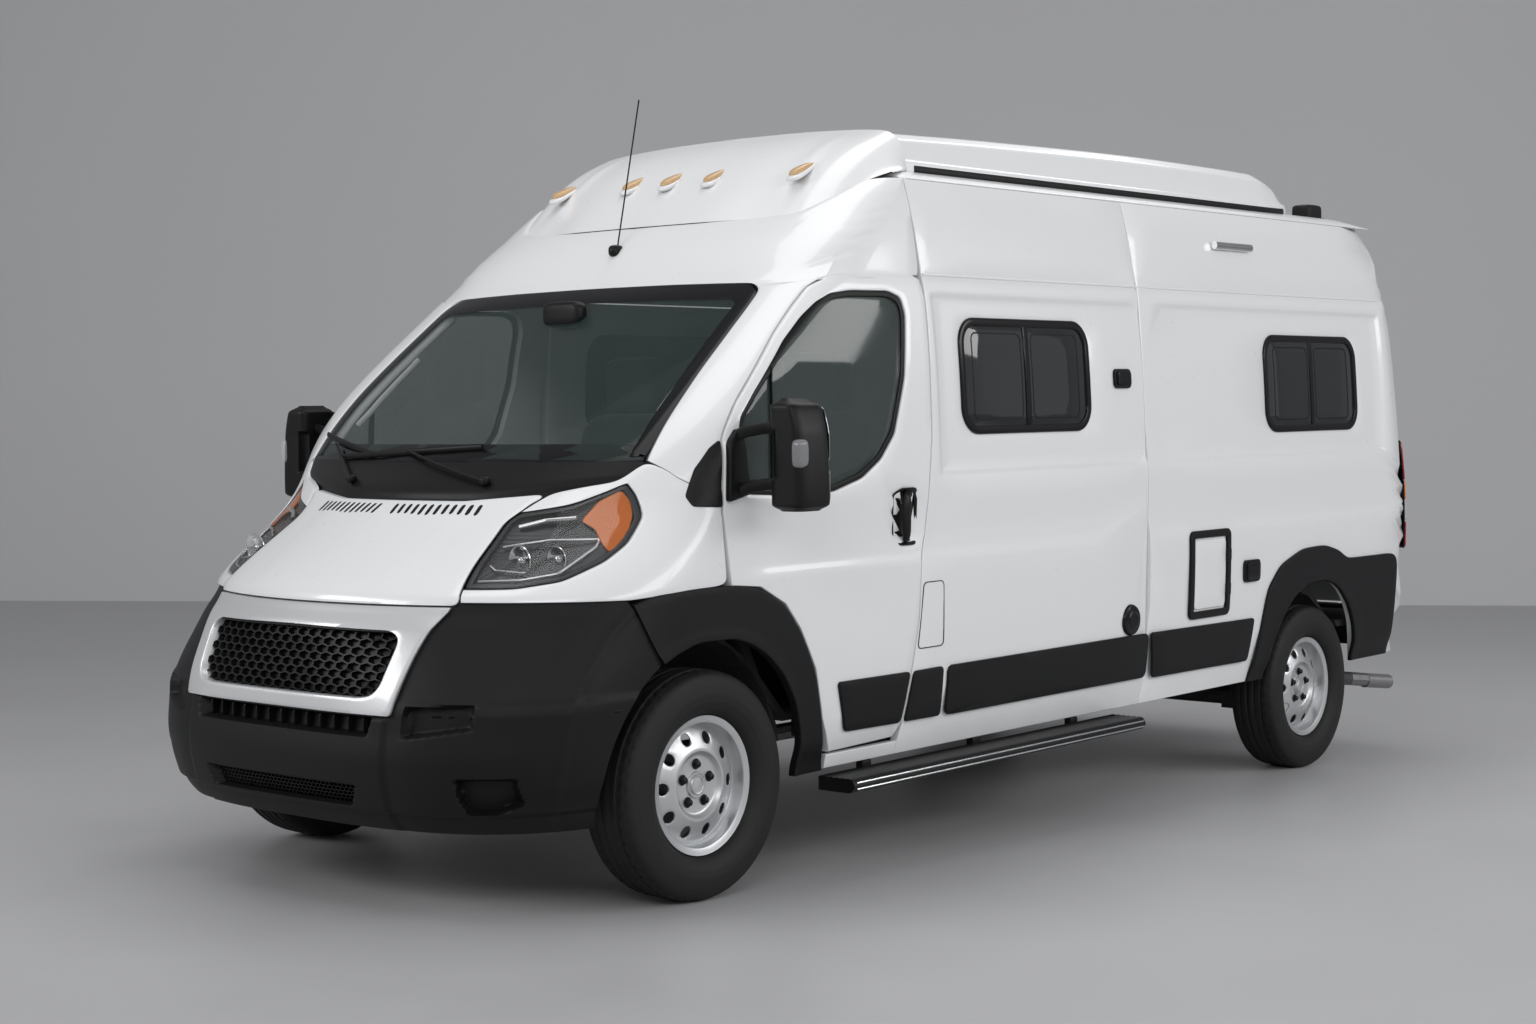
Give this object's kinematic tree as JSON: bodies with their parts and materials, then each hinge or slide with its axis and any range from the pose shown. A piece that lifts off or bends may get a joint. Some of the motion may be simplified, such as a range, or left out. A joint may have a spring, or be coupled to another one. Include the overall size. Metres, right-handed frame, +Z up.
{
  "type": "pop-top camper van",
  "caption": "High-roof pop-top camper van with opening cab and rear doors, hood, lifting roof, steered and turning wheels, dark arch mouldings and side windows.",
  "frame": {"origin": "on the ground under the middle of the overall length and width", "axes": "+X forward, +Y to the vehicle's left, +Z up"},
  "size_m": [5.9923, 2.59, 2.7026],
  "materials": {
    "white_paint": "gloss white paint",
    "silver_paint": "satin silver paint",
    "dark_plastic": "grained dark grey moulding",
    "black_plastic": "satin black moulding",
    "glass": "clear green-tinted glass",
    "tinted_glass": "dark tinted glass",
    "lamp": "clear lamp lens",
    "red_lamp": "red lens",
    "tyre_rubber": "black rubber",
    "wheel_silver": "silver painted pressed steel",
    "chassis_steel": "black chassis paint",
    "cast_metal": "bare cast metal",
    "seat_cloth": "black woven cloth",
    "dash_plastic": "grained dark moulding"
  },
  "bodies": {
    "root": {"side_wall_left": "white_paint", "side_wall_right": "white_paint", "sliding_door_right": "white_paint", "roof_shell": "white_paint", "rear_header": "white_paint", "roof_cap": "white_paint", "front_frame": "white_paint", "front_wing_left": "white_paint", "front_wing_right": "white_paint", "windscreen": "glass", "cowl": "black_plastic", "camper_window_front_left": "tinted_glass", "camper_window_rear_left": "tinted_glass", "camper_window_door_right": "tinted_glass", "camper_window_rear_right": "tinted_glass", "front_bumper": "dark_plastic", "grille_surround": "silver_paint", "grille": "black_plastic", "headlamp_left": "lamp", "headlamp_right": "lamp", "tail_lamp_left": "red_lamp", "tail_lamp_right": "red_lamp", "rear_bumper": "dark_plastic", "front_flare_left": "dark_plastic", "front_flare_right": "dark_plastic", "rear_flare_left": "dark_plastic", "rear_flare_right": "dark_plastic", "running_board_left": "black_plastic", "running_board_right": "black_plastic", "floor_pan": "chassis_steel", "front_subframe": "chassis_steel", "rear_axle": "chassis_steel", "exhaust": "cast_metal", "engine_block": "cast_metal", "seat_left": "seat_cloth", "seat_right": "seat_cloth", "dashboard": "dash_plastic"},
    "steering_wheel": {"steering_wheel": "black_plastic"},
    "front_door_left": {"front_door_left": "white_paint", "front_door_glass_left": "glass", "mirror_left": "black_plastic"},
    "rear_door_left": {"rear_door_left": "white_paint", "rear_door_glass_left": "tinted_glass"},
    "knuckle_left": {"knuckle_left": "cast_metal"},
    "wheel_front_left": {"tyre_front_left": "tyre_rubber", "rim_front_left": "wheel_silver"},
    "wheel_rear_left": {"tyre_rear_left": "tyre_rubber", "rim_rear_left": "wheel_silver"},
    "front_door_right": {"front_door_right": "white_paint", "front_door_glass_right": "glass", "mirror_right": "black_plastic"},
    "rear_door_right": {"rear_door_right": "white_paint", "rear_door_glass_right": "tinted_glass"},
    "knuckle_right": {"knuckle_right": "cast_metal"},
    "wheel_front_right": {"tyre_front_right": "tyre_rubber", "rim_front_right": "wheel_silver"},
    "wheel_rear_right": {"tyre_rear_right": "tyre_rubber", "rim_rear_right": "wheel_silver"},
    "hood": {"hood": "white_paint"},
    "pop_top": {"pop_top": "white_paint"}
  },
  "joints": [
    {"name": "front_door_left_hinge", "type": "hinge", "parent": "root", "child": "front_door_left", "pos_m": [1.96732, 1.012, 1.00318], "axis": [-0.0256, 0, -0.9997], "range_deg": [0, 62]},
    {"name": "rear_door_left_hinge", "type": "hinge", "parent": "root", "child": "rear_door_left", "pos_m": [-2.95907, 0.8, 1.12921], "axis": [-0.0256, 0, -0.9997], "range_deg": [0, 180]},
    {"name": "steer_left", "type": "hinge", "parent": "root", "child": "knuckle_left", "pos_m": [2.0787, 0.76, 0.365], "axis": [0, 0, 1], "range_deg": [-33, 33]},
    {"name": "wheel_front_left_spin", "type": "hinge", "parent": "knuckle_left", "child": "wheel_front_left", "pos_m": [2.0787, 0.905, 0.365], "axis": [0, 1, 0], "continuous": true},
    {"name": "wheel_rear_left_spin", "type": "hinge", "parent": "root", "child": "wheel_rear_left", "pos_m": [-1.9563, 0.895, 0.365], "axis": [0, 1, 0], "continuous": true},
    {"name": "front_door_right_hinge", "type": "hinge", "parent": "root", "child": "front_door_right", "pos_m": [1.96732, -1.012, 1.00318], "axis": [0.0256, 0, 0.9997], "range_deg": [0, 62]},
    {"name": "rear_door_right_hinge", "type": "hinge", "parent": "root", "child": "rear_door_right", "pos_m": [-2.95907, -0.8, 1.12921], "axis": [0.0256, 0, 0.9997], "range_deg": [0, 180]},
    {"name": "steer_right", "type": "hinge", "parent": "root", "child": "knuckle_right", "pos_m": [2.0787, -0.76, 0.365], "axis": [0, 0, 1], "range_deg": [-33, 33]},
    {"name": "wheel_front_right_spin", "type": "hinge", "parent": "knuckle_right", "child": "wheel_front_right", "pos_m": [2.0787, -0.905, 0.365], "axis": [0, 1, 0], "continuous": true},
    {"name": "wheel_rear_right_spin", "type": "hinge", "parent": "root", "child": "wheel_rear_right", "pos_m": [-1.9563, -0.895, 0.365], "axis": [0, 1, 0], "continuous": true},
    {"name": "hood_hinge", "type": "hinge", "parent": "root", "child": "hood", "pos_m": [2.36686, 0, 1.29305], "axis": [0, -1, 0], "range_deg": [0, 50]},
    {"name": "pop_top_hinge", "type": "hinge", "parent": "root", "child": "pop_top", "pos_m": [-2.15703, 0, 2.56717], "axis": [0, -1, 0], "range_deg": [0, 20]},
    {"name": "steering_wheel_turn", "type": "hinge", "parent": "root", "child": "steering_wheel", "pos_m": [1.37937, 0.46, 1.20828], "axis": [-0.8042, 0, 0.5943], "range_deg": [-470, 470]}
  ],
  "couplings": [
    {"joint": "steer_right", "follows": "steer_left", "ratio": 1},
    {"joint": "steering_wheel_turn", "follows": "steer_left", "ratio": 14}
  ]
}
